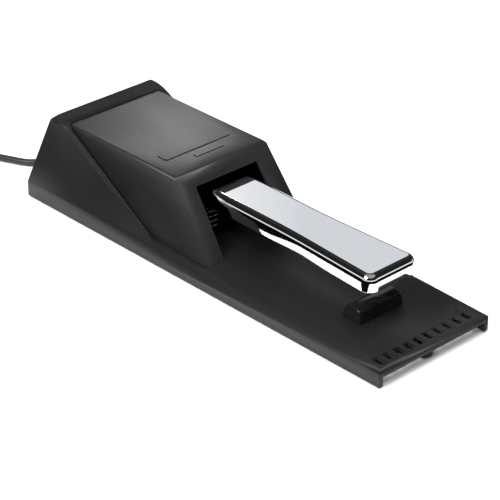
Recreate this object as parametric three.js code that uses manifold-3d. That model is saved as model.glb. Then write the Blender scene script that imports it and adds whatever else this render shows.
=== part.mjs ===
// Piano-style sustain pedal: a chrome foot lever on a long black base, with a hooded rear housing
// that holds the pivot, the return spring and the switch, and a lead that ends in a 6.35 mm plug.
// Millimetres, +Z up. The toe end faces -Y, the lead leaves at +Y, and z = 0 is the floor.
import * as THREE from 'three';
import { ConvexGeometry } from 'three/addons/geometries/ConvexGeometry.js';
import { mergeVertices } from 'three/addons/utils/BufferGeometryUtils.js';
import Module from 'manifold-3d';

const wasm = await Module();
wasm.setup();

// Overall casing
const BODY_WIDTH = 79;
const BODY_LENGTH = 273;
const BODY_HEIGHT = 58;
const GROUND_GAP = 0.8;
const HALF_WIDTH = BODY_WIDTH / 2;
const FRONT_Y = -BODY_LENGTH / 2;
const REAR_Y = BODY_LENGTH / 2;

// Base plate: its top rises gently from the front lip to the toe of the hood
const PLATE_FRONT_TOP = 8.6;
const FLOOR_TOP = 13.8;
const TOE_Y = 31.2;
const SLAB = 3;
const SKIRT = 2.7;
const FLOOR_UNDER = FLOOR_TOP - SLAB;

// Well in the base that the return spring stands in
const WELL = { halfX: 13, y0: 13, y1: 39, floor: 8.5, wall: 2 };

// Hood side profile, its draft and its walls
const BAND_TOP = 9.4;
const HOOD_TOP_HALF = 35.3;
const HOOD_CORNER = 6.5;
const HOOD_WALL = 2.3;
const HOOD_CEILING = 54;
const CREST_Y = 112;
const SHOULDER_Y = 117.5;
const SHOULDER_Z = 53.6;
const DRAFT = (HALF_WIDTH - HOOD_TOP_HALF) / (BODY_HEIGHT - BAND_TOP);
const RIM_SLOPE = (BODY_HEIGHT - FLOOR_TOP) / (CREST_Y - TOE_Y);
const RIM_GROOVE_FROM = 1.1;
const RIM_GROOVE_TO = 1.7;
const RIM_GROOVE_DEPTH = 1.2;
const RIM_RIDGE_DROP = 0.5;
const TRENCH = { inner: 35.4, outer: 37, depth: 1.2 };

// Upper cover
const COVER_TOP = 53.6;
const COVER_INSET = 3.1;
const COVER_CHAMFER = 1.5;
const COVER_WALL = 2.2;
const COVER_FRONT_FOOT_Y = -9.5;
const COVER_FRONT_TOP_Y = 19.2;
const COVER_TUCK = 5;
const MOUTH_TOP = 46.2;
const MOUTH_TOP_HALF = 21.8;
const MOUTH_FOOT_HALF = 23.6;
const POST = { x: 24, y: 45, radius: 3.2 };
const BADGE = { bar: [-23, 36, 23, 44], line: [-8, 28.5, 12, 32], rise: 0.4 };

// Vent slots in a row behind the front lip
const SLOT = { count: 10, pitch: 7, width: 4, length: 6.4, y: -128.4 };

// Foot lever, in its own frame: the pivot axis is the origin and the lever runs towards -Y
const PIVOT_Y = 80;
const PIVOT_Z = 36.5;
const REST_TILT = THREE.MathUtils.degToRad(0.83);
const LEVER = {
  half: 15.2, tipHalf: 18.3, flareFrom: -127, front: -188.5, rear: 11, top: 6.8, depth: 9.6, sheet: 1.6,
  edge: 4.2, corner: 6, flareRadius: 500,
};
const LUG_RADIUS = 6.4;
const AXLE_RADIUS = 2;
const AXLE_HALF = 20.4;
const BUSH = { bore: 2.15, barrel: 3.2, flange: 4.8, inner: 13.2, outer: 15.5, rim: 0.9 };
const CLIP = { inner: 1.65, outer: 3.7, at: 18.65, thickness: 0.5, opening: 70 };
const BRACKET = { inner: 16.7, sheet: 1.5, top: 42.5, foot: 12, head: 6 };

// Return spring under the lever, just inside the mouth of the cover
const SPRING = { y: 29, radius: 5.85, wire: 0.65, pitch: 3.3, stepsPerTurn: 12 };
const CUP = { radius: 7.6, disc: 1.4, boss: 4.4, bossHeight: 3 };

// Rubber and felt
const BUMPER = { y: -93.9, footHalfX: 15.6, footHalfY: 6.5, topHalfX: 14.7, topHalfY: 5.2, top: 17.5 };
const FELT = { halfX: 9, y0: 33, y1: 39, thickness: 3 };
const PAD = { radius: 7, height: 1.85, x: 27, ys: [-92, 106] };
const FRONT_FOOT = { radius: 4.35, y: -129.4 };

// Switch: a snap-action body on its side bracket, under the lever between the spring and the pivot
const SWITCH = { y0: 46, y1: 66, halfX: 3.2, bottom: 22, top: 32.2, holeZ: 25, holeYs: [51.2, 60.8] };
const LEAF = { hingeY: 64, hingeZ: 32.65, tipY: 46.5, sheet: 0.4, halfX: 2, rise: 0.158 };
const PLUNGER = { y: 58, radius: 0.9, bottom: 30.2, top: 33.15 };
const PUSHER = { y: 48.5, halfX: 2.5, halfY: 2, bottom: 0 };
const SWITCH_FOOT = { x0: -16, sheet: 1.2, y0: 47, y1: 65, screwX: -11, screwYs: [51, 61] };

// Sheet-metal bottom plate and screws
const BOTTOM = { z0: 2, z1: 3.2, halfX: 36.3, y0: -118, y1: 130.2, corner: 4 };
const CASING_SCREWS = { x: 28, ys: [-110, 12, 124] };
const BRACKET_SCREW_YS = [72.2, 87.8];
const SCREW = { shank: 1.2, pilot: 1.5, clear: 1.8, head: 2.8, headHeight: 1.5 };
const BOSS_RADIUS = 3.6;

// Lead, plug and clamp
const CORD_RADIUS = 2;
const CORD_Z = 6.3;
const RELIEF_END_Y = 147;
const RELIEF = {
  bore: 2.3, flange: 4.4, neck: 3.1, outer: 4.2, tip: 2.9, start: 130.6, flangeEnd: 133.5, wallEnd: 136.9,
  outerEnd: 138.2,
};
const CLAMP = { y: 118, halfWidth: 4, screwX: 7, sheet: 0.6, left: -6, right: 11 };
const WIRE_HOLE_Y = 101;
const COIL = { x: -66, y: 208, inner: 18, outer: 32.5, z0: 1.05, z1: 17.4, round: 1.5 };
const OUTER_TURN = { radius: 30.3, enters: 24.6, leaves: 300, clear: 17.7 };
const TIE = { at: 80, halfWidth: 3, sheet: 0.7 };
const PLUG = { x: -21.5, y: 248.3, z: 6.6, heading: 90 };

// Small clearance left between pieces that touch
const FIT = 0.15;
const GAP = 0.3;

const plastic = (color, roughness) => new THREE.MeshStandardMaterial({ color, roughness, metalness: 0 });
const metal = (color, roughness) => new THREE.MeshStandardMaterial({ color, roughness, metalness: 1 });
const finish = {
  casing: plastic(0x1a1a1c, 0.55),
  cover: plastic(0x1c1c1e, 0.5),
  chrome: metal(0xe6e8ea, 0.06),
  steel: metal(0xb4b7bb, 0.35),
  springSteel: metal(0xc8cacc, 0.25),
  rubber: plastic(0x121212, 0.7),
  softRubber: plastic(0x141414, 0.35),
  felt: plastic(0x5a5a58, 0.95),
  nylon: plastic(0xd9d6cc, 0.45),
  switchBody: plastic(0x2a1512, 0.4),
  brass: metal(0xc9a24a, 0.3),
  redWire: plastic(0xa01818, 0.5),
  blackWire: plastic(0x161616, 0.5),
  cord: plastic(0x18181a, 0.5),
  plugGrip: plastic(0x151516, 0.45),
  nickel: metal(0xd0cfca, 0.18),
};

// Plan and profile helpers

const casingHalf = (z) => HALF_WIDTH - Math.max(0, z - BAND_TOP) * DRAFT;
const coverHalf = (z) => casingHalf(z) - COVER_INSET;
const plateSlope = (FLOOR_TOP - PLATE_FRONT_TOP) / (TOE_Y - FRONT_Y);
const plateTop = (y) => PLATE_FRONT_TOP + plateSlope * (Math.min(y, TOE_Y) - FRONT_Y);
const rimTop = (y) => FLOOR_TOP + RIM_SLOPE * (y - TOE_Y);
const leverTopAt = (y) => PIVOT_Z + LEVER.top - (PIVOT_Y - y) * Math.tan(REST_TILT);

// A closed outline whose corners are [x, y, radius]; a corner without a radius is sharp.
function outline(corners) {
  const shape = new THREE.Shape();
  const at = (i) => new THREE.Vector2(...corners.at(i % corners.length).slice(0, 2));
  corners.forEach(([, , radius = 0], i) => {
    const here = at(i);
    const back = at(i - 1 + corners.length).sub(here).normalize();
    const ahead = at(i + 1).sub(here).normalize();
    const reach = radius / Math.tan(Math.acos(back.dot(ahead)) / 2);
    const enter = here.clone().addScaledVector(back, reach);
    const leave = here.clone().addScaledVector(ahead, reach);
    if (i === 0) shape.moveTo(enter.x, enter.y);
    else shape.lineTo(enter.x, enter.y);
    if (radius > 0) shape.quadraticCurveTo(here.x, here.y, leave.x, leave.y);
  });
  shape.closePath();
  return shape;
}

const rectangle = (x0, y0, x1, y1, radius = 0) =>
  outline([[x0, y0, radius], [x1, y0, radius], [x1, y1, radius], [x0, y1, radius]]);

function extrude(shape, from, to) {
  const settings = { depth: to - from, bevelEnabled: false, curveSegments: 5 };
  return new THREE.ExtrudeGeometry(shape, settings).translate(0, 0, from);
}

const turned = (geometry, x, y, z) =>
  geometry.applyMatrix4(new THREE.Matrix4().makeBasis(new THREE.Vector3(...x), new THREE.Vector3(...y),
    new THREE.Vector3(...z)));

// An (x, y) outline raised along Z, a (y, z) outline along X, and an (x, z) outline along Y.
const alongZ = (shape, z0, z1) => extrude(shape, z0, z1);
const alongX = (shape, x0, x1) => turned(extrude(shape, x0, x1), [0, 1, 0], [0, 0, 1], [1, 0, 0]);
const alongY = (shape, y0, y1) => turned(extrude(shape, -y1, -y0), [1, 0, 0], [0, 0, 1], [0, -1, 0]);

function box(x0, x1, y0, y1, z0, z1) {
  const geometry = new THREE.BoxGeometry(x1 - x0, y1 - y0, z1 - z0);
  return geometry.translate((x0 + x1) / 2, (y0 + y1) / 2, (z0 + z1) / 2);
}

const rod = (radius, length, sides) => new THREE.CylinderGeometry(radius, radius, length, sides);

const rodZ = (x, y, radius, z0, z1, sides = 16) =>
  rod(radius, z1 - z0, sides).rotateX(Math.PI / 2).translate(x, y, (z0 + z1) / 2);

const rodY = (x, z, radius, y0, y1, sides = 16) => rod(radius, y1 - y0, sides).translate(x, (y0 + y1) / 2, z);

const rodX = (y, z, radius, x0, x1, sides = 16) =>
  rod(radius, x1 - x0, sides).rotateZ(Math.PI / 2).translate((x0 + x1) / 2, y, z);

// Turns a geometry's faces the other way when its enclosed volume comes out negative.
function facingOut(geometry) {
  const index = geometry.index.array;
  const position = geometry.attributes.position;
  const corner = (i) => new THREE.Vector3().fromBufferAttribute(position, index[i]);
  let volume = 0;
  for (let i = 0; i < index.length; i += 3) {
    volume += corner(i).dot(corner(i + 1).cross(corner(i + 2)));
  }
  if (volume < 0) {
    for (let i = 0; i < index.length; i += 3) {
      [index[i], index[i + 1]] = [index[i + 1], index[i]];
    }
  }
  return geometry;
}

function welded(geometry) {
  const bare = geometry.clone();
  bare.deleteAttribute('normal');
  bare.deleteAttribute('uv');
  return facingOut(mergeVertices(bare, 1e-4));
}

function solid(geometry) {
  const closed = welded(geometry);
  return new wasm.Manifold(new wasm.Mesh({
    numProp: 3,
    vertProperties: new Float32Array(closed.attributes.position.array),
    triVerts: new Uint32Array(closed.index.array),
  }));
}

function geometryOf(manifold) {
  const mesh = manifold.getMesh();
  const geometry = new THREE.BufferGeometry();
  geometry.setAttribute('position', new THREE.BufferAttribute(mesh.vertProperties, 3));
  geometry.setIndex(new THREE.BufferAttribute(mesh.triVerts, 1));
  return geometry;
}

const cut = (base, ...tools) =>
  geometryOf(tools.reduce((left, tool) => left.subtract(solid(tool)), solid(base)));
const join = (base, ...others) =>
  geometryOf(others.reduce((sum, other) => sum.add(solid(other)), solid(base)));
const overlap = (first, second) => geometryOf(solid(first).intersect(solid(second)));

// A body of revolution about +Z from [radius, height] points.
function spun(profile, sides = 20) {
  const points = profile.map(([r, h]) => new THREE.Vector2(r, h));
  return welded(new THREE.LatheGeometry(points, sides).rotateX(Math.PI / 2));
}

function hose(points, radius, steps, sides = 8) {
  const section = new THREE.Shape().absarc(0, 0, radius, 0, 2 * Math.PI);
  const path = new THREE.CatmullRomCurve3(points.map((p) => new THREE.Vector3(...p)));
  return welded(new THREE.ExtrudeGeometry(section, {
    steps,
    extrudePath: path,
    curveSegments: sides / 2,
    bevelEnabled: false,
  }));
}

function add(parent, name, geometry, material) {
  const mesh = new THREE.Mesh(geometry, material);
  mesh.name = name;
  parent.add(mesh);
}

// A pan-head screw pointing up +Z from the underside of its head at the origin, with a cross recess.
function panScrew(length) {
  const body = spun([[0, -SCREW.headHeight], [SCREW.head * 0.75, -SCREW.headHeight], [SCREW.head, -0.5],
    [SCREW.head, 0], [SCREW.shank, 0], [SCREW.shank, length - 0.8], [0.4, length], [0, length]], 14);
  const recess = -SCREW.headHeight + 0.7;
  return cut(body, box(-0.35, 0.35, -1.6, 1.6, -9, recess), box(-1.6, 1.6, -0.35, 0.35, -9, recess));
}

const sides = [['left', -1], ['right', 1]];

// Base casing: hood, plate and skirts in one moulding

function casingOuter() {
  const section = outline([[-HALF_WIDTH, -1], [HALF_WIDTH, -1], [HALF_WIDTH, BAND_TOP],
    [HOOD_TOP_HALF, BODY_HEIGHT, HOOD_CORNER], [-HOOD_TOP_HALF, BODY_HEIGHT, HOOD_CORNER],
    [-HALF_WIDTH, BAND_TOP]]);
  const profile = outline([[FRONT_Y, GROUND_GAP], [REAR_Y, GROUND_GAP], [REAR_Y, BAND_TOP],
    [SHOULDER_Y, SHOULDER_Z, 2], [CREST_Y, BODY_HEIGHT, 1], [TOE_Y, FLOOR_TOP], [FRONT_Y, PLATE_FRONT_TOP]]);
  return overlap(alongY(section, FRONT_Y - 1, REAR_Y + 1), alongX(profile, -HALF_WIDTH - 1, HALF_WIDTH + 1));
}

function hoodChamber() {
  const inner = (z) => casingHalf(z) - HOOD_WALL;
  const low = FLOOR_TOP - 1;
  const section = outline([[-inner(low), low], [inner(low), low], [inner(HOOD_CEILING), HOOD_CEILING, 3],
    [-inner(HOOD_CEILING), HOOD_CEILING, 3]]);
  const profile = outline([[TOE_Y, FLOOR_TOP], [REAR_Y - 4.4, FLOOR_TOP],
    [SHOULDER_Y - 2.5, SHOULDER_Z - 1.6], [CREST_Y - 0.8, HOOD_CEILING + 1], [TOE_Y, HOOD_CEILING + 1]]);
  return overlap(alongY(section, 0, REAR_Y), alongX(profile, -HALF_WIDTH, HALF_WIDTH));
}

function underside() {
  const rear = REAR_Y - SKIRT;
  const front = FRONT_Y - 1;
  const profile = outline([[front, -1], [rear, -1], [rear, FLOOR_UNDER], [TOE_Y, FLOOR_UNDER],
    [front, plateTop(front) - SLAB]]);
  return alongX(profile, -HALF_WIDTH + SKIRT, HALF_WIDTH - SKIRT);
}

// A strip of the hood's slanted rim between two insets from its outer face, cut to a depth.
function rimStrip(side, from, to, depth) {
  const low = FLOOR_TOP - 2;
  const high = HOOD_CEILING - 3;
  const section = outline([[side * (casingHalf(low) - from), low], [side * (casingHalf(low) - to), low],
    [side * (casingHalf(high) - to), high], [side * (casingHalf(high) - from), high]]);
  const start = TOE_Y + 3;
  const end = CREST_Y - 6;
  const profile = outline([[start, rimTop(start) - depth], [end, rimTop(end) - depth], [end, rimTop(end) + 4],
    [start, rimTop(start) + 4]]);
  return overlap(alongY(section, start - 2, end + 2), alongX(profile, -HALF_WIDTH, HALF_WIDTH));
}

function coverTrench(side) {
  const start = COVER_FRONT_FOOT_Y - 0.6;
  const end = TOE_Y + 1;
  const profile = outline([[start, plateTop(start) - TRENCH.depth], [end, FLOOR_TOP - TRENCH.depth],
    [end, FLOOR_TOP + 1], [start, plateTop(start) + 1]]);
  const [x0, x1] = [side * TRENCH.inner, side * TRENCH.outer].sort((a, b) => a - b);
  return alongX(profile, x0, x1);
}

function baseCasing() {
  const bossTop = FLOOR_UNDER + 0.5;
  const underBoss = (x, y, top) => rodZ(x, y, BOSS_RADIUS, BOTTOM.z1 + GAP, top);
  const casingBosses = [-1, 1].flatMap((side) =>
    CASING_SCREWS.ys.map((y) => underBoss(side * CASING_SCREWS.x, y, plateTop(y) - SLAB + 0.5)));
  const bracketBosses = BRACKET_SCREW_YS.map((y) => underBoss(0, y, bossTop));
  const switchBosses = SWITCH_FOOT.screwYs.map((y) => underBoss(SWITCH_FOOT.screwX, y, bossTop));
  const clampBoss = rodZ(CLAMP.screwX, CLAMP.y, BOSS_RADIUS, FLOOR_TOP - 0.5, FLOOR_TOP + 4);

  const wellBox = (wall, top) =>
    box(-WELL.halfX - wall, WELL.halfX + wall, WELL.y0 - wall, WELL.y1 + wall, WELL.floor - wall, top);

  const casingPilots = [-1, 1].flatMap((side) =>
    CASING_SCREWS.ys.map((y) => rodZ(side * CASING_SCREWS.x, y, SCREW.pilot, 2, plateTop(y) - 1.2, 12)));
  const bracketPilots = BRACKET_SCREW_YS.map((y) => rodZ(0, y, SCREW.pilot, 5.5, FLOOR_TOP + 1, 12));
  const switchPilots = SWITCH_FOOT.screwYs.map((y) =>
    rodZ(SWITCH_FOOT.screwX, y, SCREW.pilot, 5.5, FLOOR_TOP + 1, 12));
  const clampPilot = rodZ(CLAMP.screwX, CLAMP.y, SCREW.pilot, FLOOR_UNDER - 1, FLOOR_TOP + 3, 12);
  const coverHoles = [-1, 1].map((side) => rodZ(side * POST.x, POST.y, SCREW.clear, 9, FLOOR_TOP + 1, 12));
  const wireHole = rodZ(0, WIRE_HOLE_Y, 3, FLOOR_UNDER - 1, FLOOR_TOP + 1);
  const leadHole = rodY(0, CORD_Z, 3.3, REAR_Y - SKIRT - 2, REAR_Y + 2);
  const slots = Array.from({ length: SLOT.count }, (_, i) => {
    const x = (i - (SLOT.count - 1) / 2) * SLOT.pitch;
    const [halfX, halfY] = [SLOT.width / 2, SLOT.length / 2];
    return box(x - halfX, x + halfX, SLOT.y - halfY, SLOT.y + halfY, 1, 12);
  });
  const rimDetail = [-1, 1].flatMap((side) => [
    rimStrip(side, RIM_GROOVE_FROM, RIM_GROOVE_TO, RIM_GROOVE_DEPTH),
    rimStrip(side, RIM_GROOVE_TO - 0.2, HOOD_WALL + 0.2, RIM_RIDGE_DROP),
    coverTrench(side),
  ]);

  const shell = cut(casingOuter(), hoodChamber(), underside());
  const bossed = join(shell, wellBox(WELL.wall, bossTop), ...casingBosses, ...bracketBosses, ...switchBosses,
    clampBoss);
  return cut(bossed, wellBox(0, FLOOR_TOP + 1), ...casingPilots, ...bracketPilots, ...switchPilots,
    clampPilot, ...coverHoles, wireHole, leadHole, ...slots, ...rimDetail);
}

// Upper cover: closes the hood from the front and has the mouth that the lever passes through

function coverBody(inset, top, frontShift, chamfer, rearShift) {
  const low = 8;
  const half = (z) => coverHalf(z) - inset;
  const section = outline([[-half(low), low], [half(low), low], [half(top - chamfer), top - chamfer],
    [half(top) - chamfer, top], [-half(top) + chamfer, top], [-half(top - chamfer), top - chamfer]]);
  const footZ = plateTop(COVER_FRONT_FOOT_Y);
  const lean = (COVER_FRONT_TOP_Y - COVER_FRONT_FOOT_Y) / (COVER_TOP - footZ);
  const frontY = (z) => COVER_FRONT_FOOT_Y + frontShift + (z - footZ) * lean;
  const rearY = (z) => TOE_Y + (z - FLOOR_TOP) / RIM_SLOPE + rearShift;
  const foot = inset > 0 ? low : FLOOR_TOP + FIT;
  const high = top + (inset > 0 ? 0 : 1);
  const frontFoot = inset > 0 ? low : plateTop(frontY(footZ)) + FIT;
  const profile = outline([[frontY(frontFoot), frontFoot], [TOE_Y, foot], [rearY(foot), foot],
    [rearY(high), high], [frontY(high), high]]);
  return overlap(alongY(section, -30, REAR_Y), alongX(profile, -HALF_WIDTH, HALF_WIDTH));
}

function upperCover() {
  const frontRise = COVER_TOP - plateTop(COVER_FRONT_FOOT_Y);
  const frontSlant = Math.hypot(frontRise, COVER_FRONT_TOP_Y - COVER_FRONT_FOOT_Y);
  const wallAlongY = COVER_WALL * frontSlant / frontRise;
  const shell = cut(coverBody(0, COVER_TOP, 0, COVER_CHAMFER, COVER_TUCK),
    coverBody(COVER_WALL, COVER_TOP - COVER_WALL, wallAlongY, 0.5, COVER_TUCK + 30));
  const mouthFoot = 8;
  const mouth = alongY(outline([[-MOUTH_FOOT_HALF, mouthFoot], [MOUTH_FOOT_HALF, mouthFoot],
    [MOUTH_TOP_HALF, MOUTH_TOP, 1], [-MOUTH_TOP_HALF, MOUTH_TOP, 1]]), -20, 21);
  const feltTop = leverTopAt(FELT.y0) + GAP + FELT.thickness + FIT;
  const stopRib = box(-FELT.halfX, FELT.halfX, FELT.y0, FELT.y1, feltTop, COVER_TOP - 1);
  const posts = sides.map(([, side]) =>
    rodZ(side * POST.x, POST.y, POST.radius, FLOOR_TOP + FIT, COVER_TOP - 1));
  const postPilots = sides.map(([, side]) => rodZ(side * POST.x, POST.y, SCREW.pilot, 9, 24, 12));
  const badge = alongZ(rectangle(...BADGE.bar, 2), COVER_TOP - 0.5, COVER_TOP + BADGE.rise);
  const badgeLine = alongZ(rectangle(...BADGE.line, 1.2), COVER_TOP - 0.5, COVER_TOP + BADGE.rise);
  return cut(join(cut(shell, mouth), stopRib, ...posts, badge, badgeLine), ...postPilots);
}

// Foot lever: a drawn channel, open below, that widens towards its tip, with two lugs for the bushes

function leverSkin(inset, bottom) {
  const edge = LEVER.edge - inset;
  const half = LEVER.half - inset;
  const tip = LEVER.tipHalf - inset;
  const front = LEVER.front + inset;
  const rear = LEVER.rear - inset;
  const corner = LEVER.corner - inset;
  const plan = outline([[-tip, front, corner], [tip, front, corner], [half, LEVER.flareFrom, LEVER.flareRadius],
    [half, rear, corner], [-half, rear, corner], [-half, LEVER.flareFrom, LEVER.flareRadius]]);
  const top = LEVER.top - inset;
  const geometry = new THREE.ExtrudeGeometry(plan, {
    depth: top - bottom - 2 * edge,
    bevelThickness: edge,
    bevelSize: edge,
    bevelOffset: -edge,
    bevelSegments: 4,
    curveSegments: 4,
  });
  return geometry.translate(0, 0, bottom + edge);
}

function pedalLever() {
  const foot = LEVER.top - LEVER.depth;
  const below = foot - 12;
  const tray = cut(leverSkin(0, below), leverSkin(LEVER.sheet, below - 4),
    box(-40, 40, LEVER.front - 5, LEVER.rear + 5, below - 9, foot));
  const inner = LEVER.half - LEVER.sheet;
  const lugs = [[-LEVER.half, -inner], [inner, LEVER.half]].map(([x0, x1]) =>
    overlap(rodX(0, 0, LUG_RADIUS, x0, x1, 24), leverSkin(0, below)));
  return cut(join(tray, ...lugs), rodX(0, 0, BUSH.barrel + 0.1, -20, 20, 24));
}

function pivotBush(side) {
  const ring = spun([[BUSH.bore, BUSH.inner], [BUSH.barrel, BUSH.inner], [BUSH.barrel, BUSH.outer],
    [BUSH.flange, BUSH.outer], [BUSH.flange, BUSH.outer + BUSH.rim], [BUSH.bore, BUSH.outer + BUSH.rim],
    [BUSH.bore, BUSH.inner]], 24);
  return ring.rotateY(side * Math.PI / 2);
}

function pivotBracket() {
  const outer = BRACKET.inner + BRACKET.sheet;
  const base = FLOOR_TOP + FIT;
  const channel = alongY(outline([[-outer, base, 2], [outer, base, 2], [outer, BRACKET.top],
    [BRACKET.inner, BRACKET.top], [BRACKET.inner, base + BRACKET.sheet, 0.8],
    [-BRACKET.inner, base + BRACKET.sheet, 0.8], [-BRACKET.inner, BRACKET.top], [-outer, BRACKET.top]]),
  60, 100);
  const taper = alongX(outline([[PIVOT_Y - BRACKET.foot, base - 1], [PIVOT_Y + BRACKET.foot, base - 1],
    [PIVOT_Y + BRACKET.foot, base + 6], [PIVOT_Y + BRACKET.head, BRACKET.top + 1, 3],
    [PIVOT_Y - BRACKET.head, BRACKET.top + 1, 3], [PIVOT_Y - BRACKET.foot, base + 6]]), -30, 30);
  const holes = BRACKET_SCREW_YS.map((y) => rodZ(0, y, SCREW.clear, base - 1, base + 4, 12));
  return cut(overlap(channel, taper), rodX(PIVOT_Y, PIVOT_Z, AXLE_RADIUS + 0.1, -30, 30, 20), ...holes);
}

function pivotPin() {
  const neck = CLIP.inner - 0.15;
  const neckEnd = CLIP.at + CLIP.thickness + 0.1;
  const end = [[neck, CLIP.at - 0.1], [neck, neckEnd], [AXLE_RADIUS, neckEnd], [AXLE_RADIUS, AXLE_HALF - 0.4],
    [AXLE_RADIUS - 0.4, AXLE_HALF], [0, AXLE_HALF]];
  const upper = [[AXLE_RADIUS, CLIP.at - 0.1], ...end];
  const lower = upper.map(([r, h]) => [r, -h]).reverse();
  return spun([...lower, ...upper], 20).rotateY(Math.PI / 2).translate(0, PIVOT_Y, PIVOT_Z);
}

function retainingClip(side) {
  const from = THREE.MathUtils.degToRad(-90 + CLIP.opening / 2);
  const to = THREE.MathUtils.degToRad(270 - CLIP.opening / 2);
  const ring = new THREE.Shape().absarc(0, 0, CLIP.outer, from, to, false);
  ring.absarc(0, 0, CLIP.inner, to, from, true);
  ring.closePath();
  const x0 = side > 0 ? CLIP.at : -CLIP.at - CLIP.thickness;
  return alongX(ring, x0, x0 + CLIP.thickness).translate(0, PIVOT_Y, PIVOT_Z);
}

// Return spring and its two seats

const seatTop = WELL.floor + FIT + CUP.disc;
const cupBottom = leverTopAt(SPRING.y) - LEVER.sheet - 2 * FIT - CUP.disc;

function returnSpring() {
  const bottom = seatTop + FIT + SPRING.wire;
  const height = cupBottom - 2 * FIT - SPRING.wire - bottom;
  const turns = height / SPRING.pitch;
  const steps = Math.round(turns * SPRING.stepsPerTurn);
  const points = Array.from({ length: steps + 1 }, (_, i) => {
    const angle = (i / SPRING.stepsPerTurn) * 2 * Math.PI;
    const z = bottom + (height * i) / steps;
    return [SPRING.radius * Math.cos(angle), SPRING.y + SPRING.radius * Math.sin(angle), z];
  });
  return hose(points, SPRING.wire, steps, 6);
}

const springSeat = () => spun([[0, 0], [CUP.radius, 0], [CUP.radius, CUP.disc], [CUP.boss, CUP.disc],
  [CUP.boss - 0.6, CUP.disc + CUP.bossHeight], [0, CUP.disc + CUP.bossHeight]], 20);

// Rubber toe bumper: a tapered block whose top is slightly crowned and rounded

function toeBumper() {
  const layer = (z, halfX, halfY, clip) => [-1, 1].flatMap((sx) => [-1, 1].flatMap((sy) => [
    [sx * (halfX - clip), BUMPER.y + sy * halfY, z],
    [sx * halfX, BUMPER.y + sy * (halfY - clip), z],
  ]));
  const foot = layer(0, BUMPER.footHalfX, BUMPER.footHalfY, 1).map(([x, y]) => [x, y, plateTop(y) + FIT]);
  const points = [
    ...foot,
    ...layer(BUMPER.top - 0.9, BUMPER.topHalfX, BUMPER.topHalfY, 1),
    ...layer(BUMPER.top - 0.4, BUMPER.topHalfX - 0.3, BUMPER.topHalfY - 0.3, 1),
    ...layer(BUMPER.top, BUMPER.topHalfX - 1.6, BUMPER.topHalfY - 2.2, 1),
  ];
  return new ConvexGeometry(points.map((p) => new THREE.Vector3(...p)));
}

// Switch

function switchBody() {
  const block = box(-SWITCH.halfX, SWITCH.halfX, SWITCH.y0, SWITCH.y1, SWITCH.bottom, SWITCH.top);
  const holes = SWITCH.holeYs.map((y) => rodX(y, SWITCH.holeZ, 1.25, -5, 5, 14));
  return cut(block, ...holes, rodZ(0, PLUNGER.y, PLUNGER.radius + 0.25, 28.9, SWITCH.top + 1, 14));
}

function switchLeaf() {
  const y0 = LEAF.hingeY + 0.4;
  const z0 = LEAF.hingeZ - LEAF.sheet / 2;
  const z1 = z0 + (y0 - LEAF.tipY) * LEAF.rise;
  return alongX(outline([[y0, z0], [y0, z0 + LEAF.sheet], [LEAF.tipY, z1 + LEAF.sheet], [LEAF.tipY, z1]]),
    -LEAF.halfX, LEAF.halfX);
}

function switchBracket() {
  const base = FLOOR_TOP + FIT;
  const face = -SWITCH.halfX - GAP;
  const back = face - SWITCH_FOOT.sheet;
  const top = SWITCH.top - 1;
  const section = outline([[SWITCH_FOOT.x0, base], [face, base, 1.5], [face, top], [back, top],
    [back, base + SWITCH_FOOT.sheet], [SWITCH_FOOT.x0, base + SWITCH_FOOT.sheet]]);
  const angle = alongY(section, SWITCH_FOOT.y0, SWITCH_FOOT.y1);
  const holes = SWITCH.holeYs.map((y) => rodX(y, SWITCH.holeZ, 1.2, back - 1, face + 1, 12));
  const floorHoles = SWITCH_FOOT.screwYs.map((y) =>
    rodZ(SWITCH_FOOT.screwX, y, SCREW.clear, base - 1, base + 3, 12));
  return cut(angle, ...holes, ...floorHoles);
}

function sideScrew(y) {
  const start = SWITCH.halfX + FIT;
  const end = -SWITCH.halfX - GAP - SWITCH_FOOT.sheet - 1;
  const profile = [[0, end], [1, end], [1, start], [1.9, start], [1.9, start + 0.8], [1.4, start + 1.3],
    [0, start + 1.3]];
  const slot = box(start + 0.9, start + 2, -0.25, 0.25, -3, 3);
  return cut(spun(profile, 14).rotateY(Math.PI / 2), slot).translate(0, y, SWITCH.holeZ);
}

// Lead, clamp and plug

const clampTop = FLOOR_UNDER - FIT;

function cableClamp() {
  const inner = CORD_RADIUS + GAP;
  const outer = inner + CLAMP.sheet;
  const ledge = clampTop - CLAMP.sheet;
  const strap = outline([[CLAMP.left, clampTop], [CLAMP.left, ledge], [-outer, ledge],
    [-outer, CORD_Z - outer, 1.2], [outer, CORD_Z - outer, 1.2], [outer, ledge], [CLAMP.right, ledge],
    [CLAMP.right, clampTop], [inner, clampTop], [inner, CORD_Z - inner, 0.8], [-inner, CORD_Z - inner, 0.8],
    [-inner, clampTop]]);
  const band = alongY(strap, CLAMP.y - CLAMP.halfWidth, CLAMP.y + CLAMP.halfWidth);
  return cut(band, rodZ(CLAMP.screwX, CLAMP.y, SCREW.clear, ledge - 1, clampTop + 1, 12));
}

// A flange each side of the rear wall, and a tail that tapers towards the lead
function strainRelief() {
  const { bore, flange, neck, outer, tip, start, flangeEnd, wallEnd, outerEnd } = RELIEF;
  const profile = [[bore, start], [flange, start], [flange, flangeEnd], [neck, flangeEnd], [neck, wallEnd],
    [outer, wallEnd], [outer, outerEnd], [tip, RELIEF_END_Y], [bore, RELIEF_END_Y], [bore, start]];
  return spun(profile, 16).rotateX(-Math.PI / 2).translate(0, 0, CORD_Z);
}

const coilAt = (angle, radius, along, z) => {
  const [c, s] = [Math.cos(THREE.MathUtils.degToRad(angle)), Math.sin(THREE.MathUtils.degToRad(angle))];
  return [COIL.x + radius * c - along * s, COIL.y + radius * s + along * c, z];
};

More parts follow.
